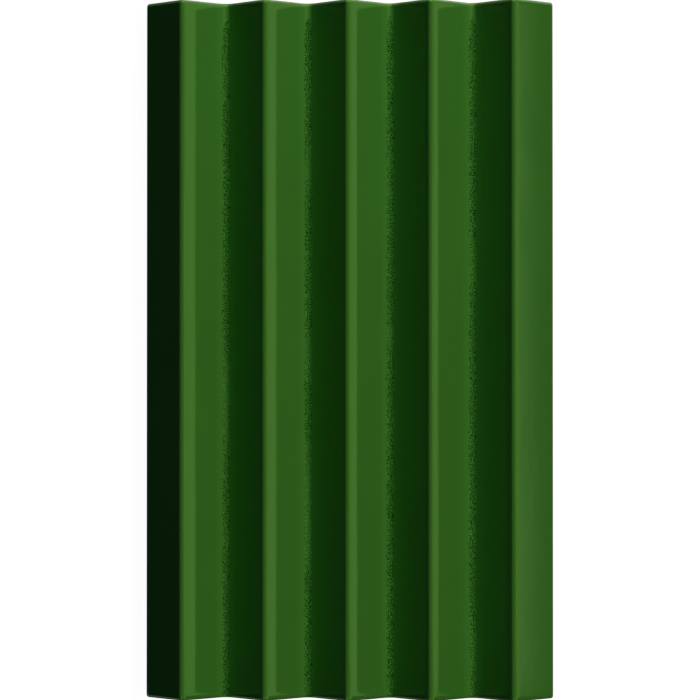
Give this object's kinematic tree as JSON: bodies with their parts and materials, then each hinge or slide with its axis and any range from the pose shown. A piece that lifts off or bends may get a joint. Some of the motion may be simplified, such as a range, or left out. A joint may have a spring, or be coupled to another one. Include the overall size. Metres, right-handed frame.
{
  "type": "porcelain tile",
  "caption": "Rectangular glazed porcelain wall tile with deep lengthwise triangular ridges, rounded crests and rims, and a keyed back for the adhesive.",
  "frame": {"origin": "middle of the back, on the plane that the tile lies on", "axes": "+X across the ridges, +Y along the ridges, +Z out of the glazed face"},
  "size_m": [0.186, 0.318, 0.024],
  "materials": {
    "green_glaze": "gloss"
  },
  "bodies": {
    "root": {"porcelain_tile": "green_glaze"}
  },
  "joints": []
}
